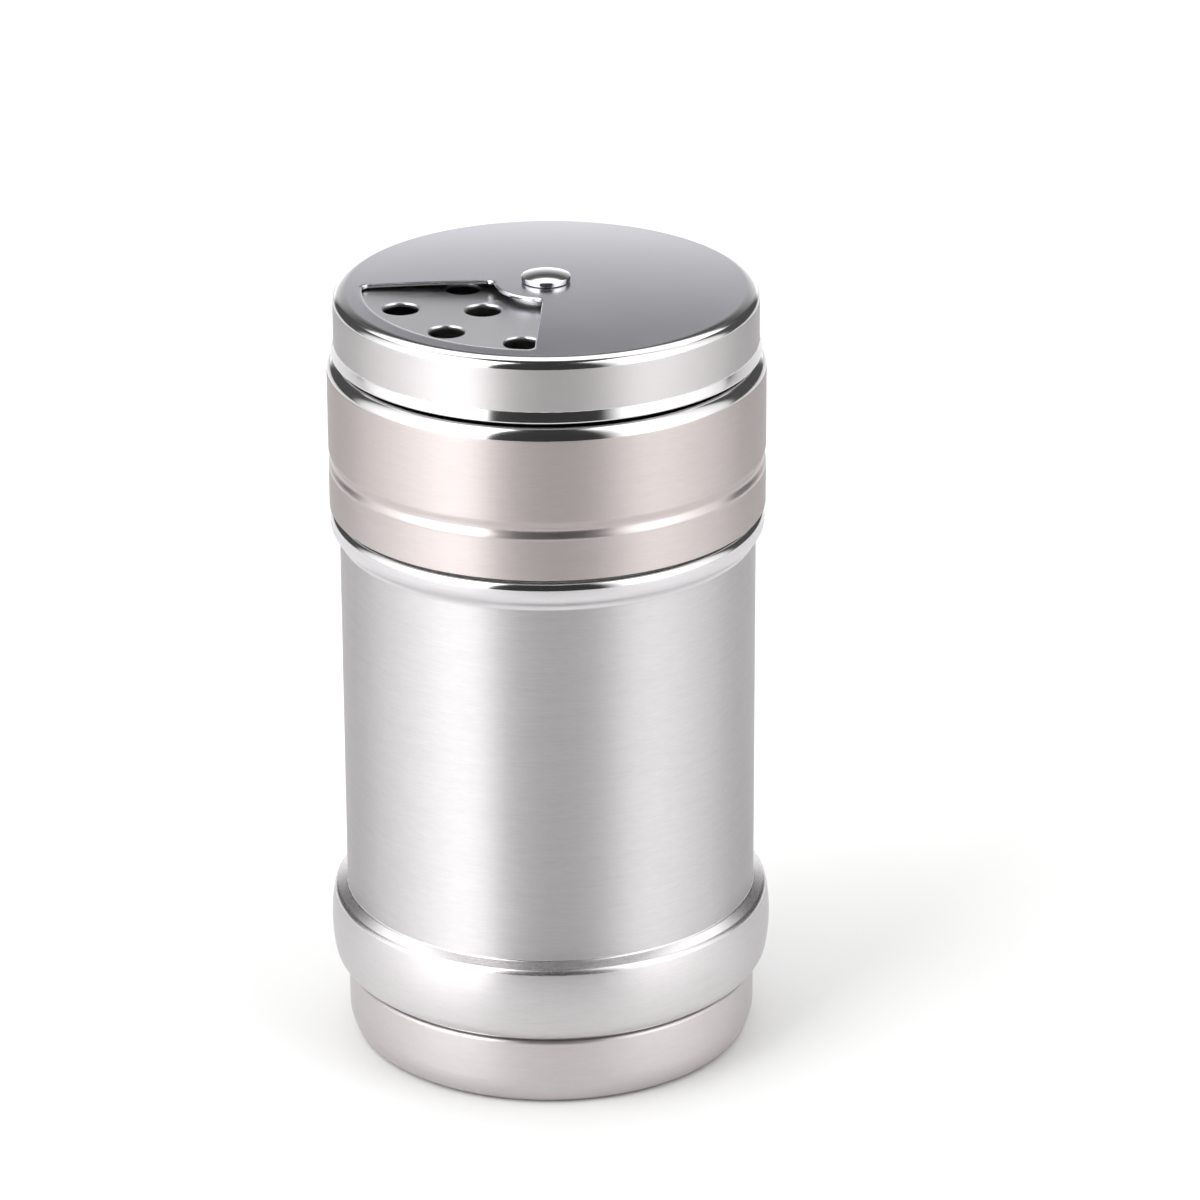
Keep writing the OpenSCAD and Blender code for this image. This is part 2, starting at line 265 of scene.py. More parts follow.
def addNode(tree, kind, inputs=None, **settings):
    node = tree.nodes.new(kind)
    for key, value in settings.items():
        setattr(node, key, value)
    for key, value in (inputs or {}).items():
        if isinstance(value, bpy.types.NodeSocket):
            tree.links.new(value, node.inputs[key])
        else:
            node.inputs[key].default_value = value
    return node


def showSurface(tree, shader, kind="ShaderNodeOutputMaterial"):
    addNode(tree, kind, {"Surface": shader.outputs[0]})


def mathNode(tree, operation, first, second=0.0):
    return addNode(tree, "ShaderNodeMath", {0: first, 1: second}, operation=operation).outputs[0]


def vectorNode(tree, operation, inputs):
    return addNode(tree, "ShaderNodeVectorMath", inputs, operation=operation).outputs[0]


def mixNode(tree, share, first, second):
    return addNode(tree, "ShaderNodeMix", {0: share, 2: first, 3: second}).outputs[0]


def mapNode(tree, value, fromLow, fromHigh, toLow, toHigh, kind="LINEAR"):
    ends = {0: value, 1: fromLow, 2: fromHigh, 3: toLow, 4: toHigh}
    return addNode(tree, "ShaderNodeMapRange", ends, interpolation_type=kind).outputs[0]


def softStep(tree, value, edge, soft, before=0, after=1):
    # eases from one level to the other, from soft before the edge to soft after it
    return mapNode(tree, value, edge - soft, edge + soft, before, after, "SMOOTHSTEP")


def rampNode(tree, value, low, high, stops):
    # levels at places between low and high; they are scaled down and up again, as a ramp ends at 1
    top = max(level for place, level in stops)
    ramp = addNode(tree, "ShaderNodeValToRGB", {0: mapNode(tree, value, low, high, 0, 1)})
    elements = ramp.color_ramp.elements
    while len(elements) > 1:
        elements.remove(elements[-1])
    for index, (place, level) in enumerate(stops):
        position = (place - low) / (high - low)
        element = elements[0] if index == 0 else elements.new(position)
        element.position = position
        element.color = (level / top, level / top, level / top, 1)
    return mathNode(tree, "MULTIPLY", ramp.outputs[0], top)


def weighted(tree, *pairs):
    # the sum of values, each times its own weight
    total = None
    for value, weight in pairs:
        part = mathNode(tree, "MULTIPLY", value, weight)
        total = part if total is None else mathNode(tree, "ADD", total, part)
    return total


def toDegrees(tree, radians):
    return mathNode(tree, "MULTIPLY", radians, math.degrees(1))


# studio: white world, a tent of soft light round the shaker, pale floor

studio = {"tentRadius": 1500, "level": 1.04, "dark": 0.05, "behindEdge": 151, "behindSoft": 5,
          "flagTop": 72, "flagSoft": 3, "stripLow": 103, "stripLowSoft": 1.5, "stripHigh": 131,
          "stripHighSoft": 3, "stripReach": 0.62, "stripReachSoft": 0.05, "stripLevel": 2.3,
          "floorColour": (0.70, 0.70, 0.697), "floorDrop": 0.2, "floorRim": 600,
          "lampPower": 5.5, "lampSize": 1000, "lampHeight": 1250}
# (angle, level): round the shaker, where 0 is the camera's side and left is negative
aroundStops = [(-180, 1.8), (-158, 1.5), (-150, 0.1), (-116, 0.1), (-108, 1.1), (-80, 2.2), (-52, 4.1),
               (-34, 4.4), (-29, 0.05), (28, 0.05), (30, 0.3), (42, 2.1), (54, 2.85), (66, 2.5),
               (82, 1.75), (104, 1.1), (110, 0.1), (150, 0.1), (158, 1.5), (180, 1.8)]
# (height, share): how the wall behind the shaker fades upwards
behindStops = [(0, 1.33), (13, 0.62), (20, 0.42), (24, 0.31), (27.5, 0.23), (31, 0.15), (36, 0.07),
               (60, 0.03)]


def lightPathMask(tree):
    # 1 for what is seen directly, in metal or through glass; 0 for light on the shaker
    path = addNode(tree, "ShaderNodeLightPath")
    mask = mathNode(tree, "MAXIMUM", path.outputs["Is Camera Ray"], path.outputs["Is Glossy Ray"])
    return mathNode(tree, "MAXIMUM", mask, path.outputs["Is Transmission Ray"])


def buildWorld():
    world = bpy.data.worlds.new("studioWorld")
    world.use_nodes = True
    tree = world.node_tree
    tree.nodes.clear()
    white = {"Color": (1, 1, 1, 1), "Strength": lightPathMask(tree)}
    showSurface(tree, addNode(tree, "ShaderNodeBackground", white), "ShaderNodeOutputWorld")
    scene.world = world


def tentMaterial():
    material, tree = newMaterial("softTent")
    place = addNode(tree, "ShaderNodeTexCoord").outputs["Object"]
    unit = vectorNode(tree, "NORMALIZE", {0: place})
    x, y, z = addNode(tree, "ShaderNodeSeparateXYZ", {0: unit}).outputs
    front = mathNode(tree, "MULTIPLY", y, -1)
    around = toDegrees(tree, mathNode(tree, "ARCTAN2", x, front))
    height = toDegrees(tree, mathNode(tree, "ARCSINE", z))
    pitch = toDegrees(tree, mathNode(tree, "ARCTAN2", z, front))
    # walls of light, which fade upwards behind the shaker only
    away = mathNode(tree, "ABSOLUTE", around)
    behind = softStep(tree, away, studio["behindEdge"], studio["behindSoft"])
    fade = mixNode(tree, behind, 1, rampNode(tree, height, 0, 90, behindStops))
    wall = mathNode(tree, "MULTIPLY", rampNode(tree, around, -180, 180, aroundStops), fade)
    # a dark flag overhead
    flag = softStep(tree, height, studio["flagTop"], studio["flagSoft"])
    capped = mixNode(tree, flag, wall, studio["dark"])
    # a strip light behind the flag, for the rounded edges that face up
    start = softStep(tree, pitch, studio["stripLow"], studio["stripLowSoft"])
    end = softStep(tree, pitch, studio["stripHigh"], studio["stripHighSoft"], 1, 0)
    sideways = mathNode(tree, "ABSOLUTE", x)
    sides = softStep(tree, sideways, studio["stripReach"], studio["stripReachSoft"], 1, 0)
    strip = mathNode(tree, "MULTIPLY", mathNode(tree, "MULTIPLY", start, end), sides)
    glow = mixNode(tree, strip, capped, studio["stripLevel"])
    strength = mathNode(tree, "MULTIPLY", glow, studio["level"])
    light = addNode(tree, "ShaderNodeEmission", {"Color": (1, 1, 1, 1), "Strength": strength})
    showSurface(tree, light)
    return material


def buildTent():
    clearSelection()
    bpy.ops.mesh.primitive_uv_sphere_add(segments=64, ring_count=32, radius=studio["tentRadius"] * mm)
    bpy.ops.object.mode_set(mode="EDIT")
    bpy.ops.mesh.select_all(action="SELECT")
    bpy.ops.mesh.bisect(plane_co=(0, 0, -studio["floorDrop"] * mm), plane_no=(0, 0, 1), clear_inner=True)
    bpy.ops.mesh.select_all(action="SELECT")
    bpy.ops.mesh.flip_normals()
    bpy.ops.object.mode_set(mode="OBJECT")
    tent = nameNew("studioTent")
    bpy.ops.object.shade_smooth()
    tent.data.materials.append(tentMaterial())
    tent.visible_camera = False
    tent.visible_transmission = False
    tent.visible_shadow = False


def addLamp():
    # lights the floor and the plastic softly from above; the metal shows the tent instead
    bpy.ops.object.light_add(type="AREA", location=(0, 0, studio["lampHeight"] * mm))
    lamp = bpy.context.object
    lamp.data.shape = "DISK"
    lamp.data.size = studio["lampSize"] * mm
    lamp.data.energy = studio["lampPower"]
    lamp.visible_glossy = False


def floorMaterial():
    # clear from below, so that the foot can be looked at
    material, tree = newMaterial("paleFloor")
    matt = addNode(tree, "ShaderNodeBsdfDiffuse", {"Color": (*studio["floorColour"], 1)})
    below = addNode(tree, "ShaderNodeNewGeometry").outputs["Backfacing"]
    clear = addNode(tree, "ShaderNodeBsdfTransparent")
    sides = {0: below, 1: matt.outputs[0], 2: clear.outputs[0]}
    showSurface(tree, addNode(tree, "ShaderNodeMixShader", sides))
    return material


def buildFloor():
    clearSelection()
    bpy.ops.mesh.primitive_circle_add(vertices=96, radius=studio["tentRadius"] * mm, fill_type="NGON",
                                      location=(0, 0, -studio["floorDrop"] * mm))
    bpy.ops.object.mode_set(mode="EDIT")
    bpy.ops.mesh.select_all(action="SELECT")
    bpy.ops.mesh.inset(thickness=studio["floorRim"] * mm)
    bpy.ops.object.mode_set(mode="OBJECT")
    bpy.ops.object.transform_apply(location=True, rotation=True, scale=True)
    floor = nameNew("studioFloor")
    floor.data.materials.append(floorMaterial())


buildWorld()
buildTent()
addLamp()
buildFloor()
print("studio ready")


# shared surface effects

noiseRange = (0.3, 0.7)  # where most of a noise lies
brushGrain = {"fineDetail": 3, "fineRoughness": 0.65, "broadScale": 0.23, "broadDetail": 2,
              "broadRoughness": 0.5, "broadShare": 0.3}
hazeGrain = {"patchSize": 14, "patchDetail": 3, "grainScale": 70, "grainDetail": 2, "roughness": 0.5}


def newGroup(name, inputs, outputs):
    # an input without a value is a vector, and each output is one value
    tree = bpy.data.node_groups.new(name, "ShaderNodeTree")
    for label, value in inputs.items():
        kind = "NodeSocketVector" if value is None else "NodeSocketFloat"
        socket = tree.interface.new_socket(name=label, in_out="INPUT", socket_type=kind)
        if value is not None:
            socket.default_value = value
    for label in outputs:
        tree.interface.new_socket(name=label, in_out="OUTPUT", socket_type="NodeSocketFloat")
    return tree, addNode(tree, "NodeGroupInput").outputs, addNode(tree, "NodeGroupOutput").inputs


def noiseNode(tree, place, scale, detail, roughness):
    inputs = {"Vector": place, "Scale": scale, "Detail": detail, "Roughness": roughness}
    return addNode(tree, "ShaderNodeTexNoise", inputs).outputs[0]


def putOut(tree, noise, socket):
    # a group's output, centred on 0 and reaching to about 1 either way
    tree.links.new(mapNode(tree, noise, *noiseRange, -1, 1), socket)


def brushGroup():
    # fine lines round the axis, with broader ones among them
    inputs = {"place": None, "lineLength": 1.2, "lineHeight": 0.12}
    tree, given, out = newGroup("roundBrush", inputs, ["shade"])
    along = mathNode(tree, "DIVIDE", 1 / mm, given["lineLength"])
    across = mathNode(tree, "DIVIDE", 1 / mm, given["lineHeight"])
    stretch = addNode(tree, "ShaderNodeCombineXYZ", {0: along, 1: along, 2: across}).outputs[0]
    fine = vectorNode(tree, "MULTIPLY", {0: given["place"], 1: stretch})
    broad = vectorNode(tree, "SCALE", {0: fine, 3: brushGrain["broadScale"]})
    lines = noiseNode(tree, fine, 1, brushGrain["fineDetail"], brushGrain["fineRoughness"])
    bands = noiseNode(tree, broad, 1, brushGrain["broadDetail"], brushGrain["broadRoughness"])
    share = brushGrain["broadShare"]
    putOut(tree, weighted(tree, (lines, 1 - share), (bands, share)), out["shade"])
    return tree


def hazeGroup():
    # soft patches from handling and polishing, and a fine grain
    inputs = {"place": None, "patchSize": hazeGrain["patchSize"]}
    tree, given, out = newGroup("softHaze", inputs, ["patch", "grain"])
    scale = mathNode(tree, "DIVIDE", 1 / mm, given["patchSize"])
    fine = mathNode(tree, "MULTIPLY", scale, hazeGrain["grainScale"])
    patch = noiseNode(tree, given["place"], scale, hazeGrain["patchDetail"], hazeGrain["roughness"])
    grain = noiseNode(tree, given["place"], fine, hazeGrain["grainDetail"], hazeGrain["roughness"])
    putOut(tree, patch, out["patch"])
    putOut(tree, grain, out["grain"])
    return tree


roundBrush = brushGroup()
softHaze = hazeGroup()


def placeGroup(tree, group, inputs):
    return addNode(tree, "ShaderNodeGroup", inputs, node_tree=group).outputs


def shadedColour(tree, colour, shade):
    # the colour made lighter and darker by a value centred on 0
    return vectorNode(tree, "MULTIPLY", {0: colour, 1: mathNode(tree, "ADD", shade, 1)})


# steel finishes: line is the length and height of a brushed line, aniso draws a glint out across
# the lines, and the four shares say how much lines and haze change the colour and the roughness

quarterTurn = 0.25
steelLooks = {
    "sleeveBrushed": {"colour": (0.555, 0.54, 0.548), "rough": 0.5, "aniso": 0.85, "line": (1.6, 0.16),
                      "lineShade": 0.075, "lineRough": 0.04, "hazeShade": 0.01, "hazeRough": 0.01},
    "collarBrushed": {"colour": (0.545, 0.495, 0.488), "rough": 0.5, "aniso": 0.85, "line": (1.6, 0.16),
                      "lineShade": 0.06, "lineRough": 0.04, "hazeShade": 0.015, "hazeRough": 0.01},
    "skirtBrushed": {"colour": (0.565, 0.545, 0.55), "rough": 0.5, "aniso": 0.85, "line": (1.4, 0.12),
                     "lineShade": 0.03, "lineRough": 0.02, "hazeShade": 0.01, "hazeRough": 0.01},
    "polishedSteel": {"colour": (0.62, 0.61, 0.615), "rough": 0.11, "aniso": 0, "line": (2.0, 0.08),
                      "lineShade": 0.02, "lineRough": 0.02, "hazeShade": 0.0, "hazeRough": 0.01},
    # the groove's satin finish; its colour is the collar's colour darkened, as painted shade in the hollow
    "grooveSatinPaintedShade": {"colour": (0.50, 0.455, 0.45), "rough": 0.3, "aniso": 0.5, "line": (1.6, 0.16),
                    "lineShade": 0.04, "lineRough": 0.03, "hazeShade": 0.01, "hazeRough": 0.01},
    "ringTop": {"colour": (0.58, 0.565, 0.575), "rough": 0.27, "aniso": 0, "line": (2.0, 0.08),
                "lineShade": 0.02, "lineRough": 0.02, "hazeShade": 0.01, "hazeRough": 0.01},
    "ringSatin": {"colour": (0.59, 0.572, 0.578), "rough": 0.42, "aniso": 0.7, "line": (1.6, 0.16),
                  "lineShade": 0.06, "lineRough": 0.04, "hazeShade": 0.015, "hazeRough": 0.02},
    "beadSatin": {"colour": (0.62, 0.605, 0.62), "rough": 0.38, "aniso": 0.4, "line": (2.0, 0.10),
                  "lineShade": 0.02, "lineRough": 0.02, "hazeShade": 0.01, "hazeRough": 0.02},
    "baseSatin": {"colour": (0.58, 0.543, 0.545), "rough": 0.42, "aniso": 0.6, "line": (1.6, 0.16),
                  "lineShade": 0.05, "lineRough": 0.03, "hazeShade": 0.02, "hazeRough": 0.02},
    "topSatin": {"colour": (0.605, 0.60, 0.65), "rough": 0.22, "aniso": 0, "line": (3.0, 3.0),
                 "lineShade": 0.01, "lineRough": 0.01, "hazeShade": 0.01, "hazeRough": 0.02},
    "plateSatin": {"colour": (0.64, 0.63, 0.655), "rough": 0.3, "aniso": 0, "line": (3.0, 3.0),
                   "lineShade": 0.01, "lineRough": 0.02, "hazeShade": 0.02, "hazeRough": 0.03},
    "insideSteel": {"colour": (0.55, 0.54, 0.54), "rough": 0.38, "aniso": 0, "line": (2.0, 0.15),
                    "lineShade": 0.03, "lineRough": 0.03, "hazeShade": 0.02, "hazeRough": 0.03},
    "rivetSteel": {"colour": (0.66, 0.66, 0.665), "rough": 0.13, "aniso": 0, "line": (2.0, 2.0),
                   "lineShade": 0.01, "lineRough": 0.01, "hazeShade": 0.0, "hazeRough": 0.02},
}


def steelMaterial(name, look):
    material, tree = newMaterial(name)
    place = addNode(tree, "ShaderNodeTexCoord").outputs["Object"]
    length, height = look["line"]
    brush = placeGroup(tree, roundBrush, {"place": place, "lineLength": length, "lineHeight": height})
    haze = placeGroup(tree, softHaze, {"place": place})
    tone = weighted(tree, (brush["shade"], look["lineShade"]), (haze["patch"], look["hazeShade"]))
    uneven = weighted(tree, (brush["shade"], look["lineRough"]), (haze["patch"], look["hazeRough"]))
    inputs = {"Base Color": shadedColour(tree, look["colour"], tone), "Metallic": 1,
              "Roughness": mathNode(tree, "ADD", uneven, look["rough"])}
    if look["aniso"]:
        rings = addNode(tree, "ShaderNodeTangent", direction_type="RADIAL", axis="Z").outputs[0]
        inputs |= {"Anisotropic": look["aniso"], "Anisotropic Rotation": quarterTurn, "Tangent": rings}
    showSurface(tree, addNode(tree, "ShaderNodeBsdfPrincipled", inputs))
    return material


steel = {name: steelMaterial(name, look) for name, look in steelLooks.items()}


# plastic finishes: scatter is how far light goes inside, depth how much of it does, clear how much
# passes through, and grainDepth how deep the moulded grain is

plasticLooks = {
    "naturalPlastic": {"colour": (0.78, 0.78, 0.74), "rough": 0.42, "grainRough": 0.03, "hazeShade": 0.02,
                       "patch": 9.0, "bump": 0.15, "grainDepth": 0.02, "ior": 1.49, "depth": 0.3,
                       "scatter": 1.0, "clear": 0.0},
    "clearSilicone": {"colour": (0.80, 0.80, 0.77), "rough": 0.35, "grainRough": 0.03, "hazeShade": 0.02,
                      "patch": 6.0, "bump": 0.1, "grainDepth": 0.02, "ior": 1.41, "depth": 0.4,
                      "scatter": 1.0, "clear": 0.3},
}


def plasticMaterial(name, look):
    material, tree = newMaterial(name)
    place = addNode(tree, "ShaderNodeTexCoord").outputs["Object"]
    haze = placeGroup(tree, softHaze, {"place": place, "patchSize": look["patch"]})
    tone = weighted(tree, (haze["patch"], look["hazeShade"]))
    uneven = weighted(tree, (haze["grain"], look["grainRough"]))
    bump = addNode(tree, "ShaderNodeBump", {"Strength": look["bump"], "Distance": look["grainDepth"] * mm,
                                            "Height": haze["grain"]})
    showSurface(tree, addNode(tree, "ShaderNodeBsdfPrincipled", {
        "Base Color": shadedColour(tree, look["colour"], tone), "IOR": look["ior"],
        "Roughness": mathNode(tree, "ADD", uneven, look["rough"]), "Subsurface Weight": look["depth"],
        "Subsurface Scale": look["scatter"] * mm, "Transmission Weight": look["clear"],
        "Normal": bump.outputs[0]}))
    return material


plastic = {name: plasticMaterial(name, look) for name, look in plasticLooks.items()}
print("finishes ready:", len(steel) + len(plastic))


# jar: ring, sleeve, stop bead, neck and lip from one drawn sheet

jar = {"sleeve": 24.8, "height": 68.0, "wall": 0.5, "cutEdge": 0.08, "beadOut": 1.05, "beadHeight": 4.1,
       "beadRound": 1.2, "beadStep": 1.6, "beadLowRound": 1.5, "neck": 22.8, "neckFoot": 0.6, "neckTop": 77.2,
       "lipRound": 0.75, "lipTurn": 200, "creaseZ": 19.1, "creaseFillet": 0.3, "ringZ": 9.0, "ringOut": 1.58,
       "ringCurve": 11, "ringTopRound": 1.0, "ringTopSlope": 64, "ringEdgeRound": 2.2, "ringGap": 0.15,
       "columns": 240,
       # where one finish ends and the next begins, counted from the crease, the bead and the top
       "belowCrease": 1.15, "aboveCrease": 0.2, "aboveBead": 0.3, "belowTop": 1.0, "aboveTop": 0.3,
       "bandSlack": 0.1}


def jarPath(size):
    side, sleeve, curve = size["sleeve"] + size["ringOut"], size["sleeve"], size["ringCurve"]
    edge, topRound, slope = size["ringEdgeRound"], size["ringTopRound"], size["ringTopSlope"]
    # the ring: rounded lower edge, slightly bowed side, rounded top, slope down to the crease
    lowX, topX = side - edge * cosine(curve), side - topRound * cosine(curve)
    turn = math.degrees(math.acos((sleeve + size["ringGap"] - lowX) / edge))
    lowZ = size["ringZ"] + edge * sine(turn)
    topEnd = topX + topRound * cosine(slope)
    topZ = size["creaseZ"] - (topEnd - sleeve) / tangent(slope) - topRound * sine(slope)
    bowLow, bowHigh = lowZ - edge * sine(curve), topZ + topRound * sine(curve)
    bow = (bowHigh - bowLow) / (2 * sine(curve))
    fillet = size["creaseFillet"]
    creaseZ = size["creaseZ"] + fillet * tangent(slope / 2)
    # the bead, the neck and the rolled lip
    height, neck, bead = size["height"], size["neck"], sleeve + size["beadOut"]
    beadRound, foot, lip = size["beadRound"], size["neckFoot"], size["lipRound"]
    return (arcPath(lowX, lowZ, edge, -turn, -curve, steps=14)
            + arcPath(side - bow * cosine(curve), (bowHigh + bowLow) / 2, bow, -curve, curve, steps=20)[1:]
            + arcPath(topX, topZ, topRound, curve, slope, steps=16)[1:]
            + arcPath(sleeve + fillet, creaseZ, fillet, 180 + slope, 180, steps=8)
            + stepOut(sleeve, bead, height - size["beadHeight"], size["beadStep"], size["beadLowRound"])
            + arcPath(bead - beadRound, height - beadRound, beadRound, 0, 90, steps=12)
            + arcPath(neck + foot, height + foot, foot, 270, 180, steps=8)
            + arcPath(neck - lip, size["neckTop"] - lip, lip, 0, size["lipTurn"], steps=20))


def buildJar():
    shell = turnPath("jarShell", jarPath(jar), jar["columns"])
    giveWall(shell, jar)
    crease, bead, top = jar["creaseZ"], jar["height"] - jar["beadHeight"], jar["height"]
    ringTop, sleeveLow = crease - jar["belowCrease"], crease + jar["aboveCrease"]
    beadLow, beadTop = bead + jar["aboveBead"], top - jar["belowTop"]
    neckLow, neckTop = top + jar["aboveTop"], jar["neckTop"] + jar["bandSlack"]
    outOfWall, inWall = jar["sleeve"] + jar["bandSlack"], jar["sleeve"] - jar["bandSlack"]
    finishBands(shell, steel["insideSteel"], [
        (steel["ringSatin"], 0, ringTop, outOfWall),
        (steel["ringTop"], ringTop, sleeveLow, inWall),
        (steel["sleeveBrushed"], sleeveLow, beadLow, inWall),
        (steel["beadSatin"], beadLow, beadTop, inWall),
        (steel["polishedSteel"], beadTop, neckLow, 0),
        (steel["ringSatin"], neckLow, neckTop, 0)])
    smooth(shell)
    finishPiece(shell, "jar", "jar_steel", "jar_shell")


# base cup, pressed into the jar up to its shoulder

base = {"radius": 24.8, "wall": 0.5, "cutEdge": 0.08, "edgeRound": 0.9, "sideRound": 5.4, "sideTurn": 30,
        "footWidth": 2.8, "footRound": 2.2, "footBack": 0.1, "panelRise": 1.0, "panelRound": 2.4,
        "panelBack": 0.6, "panelSlope": 26, "seat": 24.3, "seatRound": 0.55, "seatFoot": 0.2,
        "shoulderZ": 8.65, "top": 22.1, "columns": 240, "bandSlack": 0.1}


def basePath(size):
    side, edge, turn = size["sideRound"], size["edgeRound"], size["sideTurn"]
    foot = size["radius"] - side + (side - edge) * cosine(turn)
    sideZ = edge + (side - edge) * sine(turn)
    reach = size["seatRound"] + size["seatFoot"]
    step = math.degrees(math.acos(1 - (size["radius"] - size["seat"]) / reach))
    seatZ = size["shoulderZ"] - reach * sine(step)
    # the raised panel inside the foot ring
    inner, rise, slope = foot - size["footWidth"], size["panelRise"], size["panelSlope"]
    panelX, panelRound = inner - 2 * rise - size["panelBack"], size["panelRound"]
    footX, footRound = inner + size["footBack"], size["footRound"]
    return ([(0, rise), (panelX - size["panelBack"], rise)]
            + arcPath(panelX, rise - panelRound, panelRound, 90, 90 - slope, steps=5)[1:]
            + arcPath(footX, footRound, footRound, 270 - slope, 270, steps=5)
            + arcPath(foot, edge, edge, -90, -turn, steps=12)[1:]
            + arcPath(size["radius"] - side, sideZ, side, -turn, 0, steps=14)[1:]
            + stepIn(size["radius"], size["seat"], seatZ, size["seatRound"], size["seatFoot"])
            + [(size["seat"], size["top"])])


def buildBase():
    cup = turnPath("baseCup", basePath(base), base["columns"])
    giveWall(cup, base)
    slack = base["bandSlack"]
    finishBands(cup, steel["insideSteel"], [(steel["baseSatin"], -slack, base["shoulderZ"] + slack, 0)])
    smooth(cup)
    finishPiece(cup, "jar", "base_steel", "base_cup")


buildJar()
buildBase()


# lid: collar with its groove, shoulder and perforated top

lid = {"collar": 25.95, "lowest": 68.3, "shoulder": 87.15, "wall": 0.5, "cutEdge": 0.16,
       "shoulderRound": 2.0, "footRound": 0.4, "sifter": 24.4, "plateZ": 94.45, "edgeRound": 1.2,
       "bore": 1.5, "sideRows": (2.5, 12), "grooveZ": 5.0, "grooveHeight": 2.4, "grooveDepth": 0.35,
       "grooveSteps": 24, "polishTurn": 9, "plateRim": 0.6, "bandSlack": 0.1, "columns": 240}
holes = {"coarse": 4.2, "coarseRound": 0.26, "coarseColumns": 40, "fine": 1.6, "fineRound": 0.1,
         "fineColumns": 24, "outerRow": 17.9, "outerStart": 168, "outerStep": 31, "outerCount": 4,
         "innerRow": 9.8, "innerStart": 173.5, "innerStep": 48, "innerCount": 2,
         "finePitch": 2.7, "fineRows": 4, "fineSpan": 84, "fineTurn": 330,
         # the cutter follows the rounded rim up and then opens wider above the plate
         "cutBelow": 1.5, "cutTurn": 70, "cutStep": 14, "cutFlare": 0.3, "cutGap": 0.05, "cutAbove": 1.0}


def lidPath(size):
    low, side = size["lowest"], size["collar"]
    firstRow, lastRow = size["sideRows"]
    groove = []
    for index in range(size["grooveSteps"] + 1):
        share = index / size["grooveSteps"]
        depth = size["grooveDepth"] * (1 - cosine(360 * share)) / 2
        groove.append((side - depth, low + size["grooveZ"] + size["grooveHeight"] * share))
    shoulderLow, edge = size["shoulder"] - size["shoulderRound"], size["edgeRound"]
    return ([(side, low), (side, low + firstRow)] + groove + [(side, low + lastRow)]
            + stepIn(side, size["sifter"], shoulderLow, size["shoulderRound"], size["footRound"], steps=14)
            + arcPath(size["sifter"] - edge, size["plateZ"] - edge, edge, 0, 90, steps=12)
            + [(size["bore"], size["plateZ"])])


def holeCutter(diameter, rounding, columns):
    plate, radius = lid["plateZ"], diameter / 2
    low, high = plate - holes["cutBelow"], plate + holes["cutAbove"]
    path = [(0, low), (radius, low)]
    for angle in range(0, holes["cutTurn"] + 1, holes["cutStep"]):
        path.append((radius + rounding * (1 - cosine(angle)), plate - rounding + rounding * sine(angle)))
    rimX, rimZ = path[-1]
    wide = rimX + holes["cutFlare"]
    rise = holes["cutFlare"] * tangent(90 - holes["cutTurn"]) + holes["cutGap"]
    path += [(wide, rimZ + rise), (wide, high), (0, high)]
    return turnPath("holeCutter", path, columns)


def placeCutters(first, places):
    cutters = []
    for radius, angle in places:
        makeActive(first)
        bpy.ops.object.duplicate()
        copy = bpy.context.object
        copy.location = (radius * mm * cosine(angle), radius * mm * sine(angle), 0)
        bpy.ops.object.transform_apply(location=True, rotation=False, scale=False)
        cutters.append(copy)
    bpy.data.objects.remove(first)
    return cutters


def coarsePlaces():
    places = []
    for row in ("outer", "inner"):
        for index in range(holes[row + "Count"]):
            places.append((holes[row + "Row"], holes[row + "Start"] + holes[row + "Step"] * index))
    return places


def finePlaces():
    # rows evenly between the two coarse rows, each with as many holes as its length takes
    places = []
    for row in range(holes["fineRows"]):
        share = row / (holes["fineRows"] - 1)
        radius = holes["innerRow"] + (holes["outerRow"] - holes["innerRow"]) * share
        count = int(radius * math.radians(holes["fineSpan"]) / holes["finePitch"])
        for index in range(count + 1):
            places.append((radius, holes["fineTurn"] + holes["fineSpan"] * (index / count - 0.5)))
    return places


def buildLid():
    shell = turnPath("lidShell", lidPath(lid), lid["columns"])
    giveWall(shell, lid)
    coarse = holeCutter(holes["coarse"], holes["coarseRound"], holes["coarseColumns"])
    cutWith(shell, placeCutters(coarse, coarsePlaces()))
    fine = holeCutter(holes["fine"], holes["fineRound"], holes["fineColumns"])
    cutWith(shell, placeCutters(fine, finePlaces()))
    low, slack = lid["lowest"], lid["bandSlack"]
    polishLow = lid["shoulder"] - lid["shoulderRound"] * (1 - sine(lid["polishTurn"]))
    grooveLow, plateLow = low + lid["grooveZ"], lid["plateZ"] - lid["plateRim"]
    finishBands(shell, steel["insideSteel"], [
        (steel["collarBrushed"], low - slack, polishLow, 0),
        # the groove's lower flank gets the darker copy of the collar steel, which is painted shade in the
        # groove
        (steel["grooveSatinPaintedShade"], grooveLow, grooveLow + lid["grooveHeight"] / 2, 0),
        (steel["polishedSteel"], polishLow, plateLow, 0),
        (steel["plateSatin"], plateLow, lid["plateZ"] + slack, 0)])
    smooth(shell)
    weighNormals(shell)
    finishPiece(shell, "lid", "lid_steel", "lid_shell")


buildLid()


# turning cover with its window

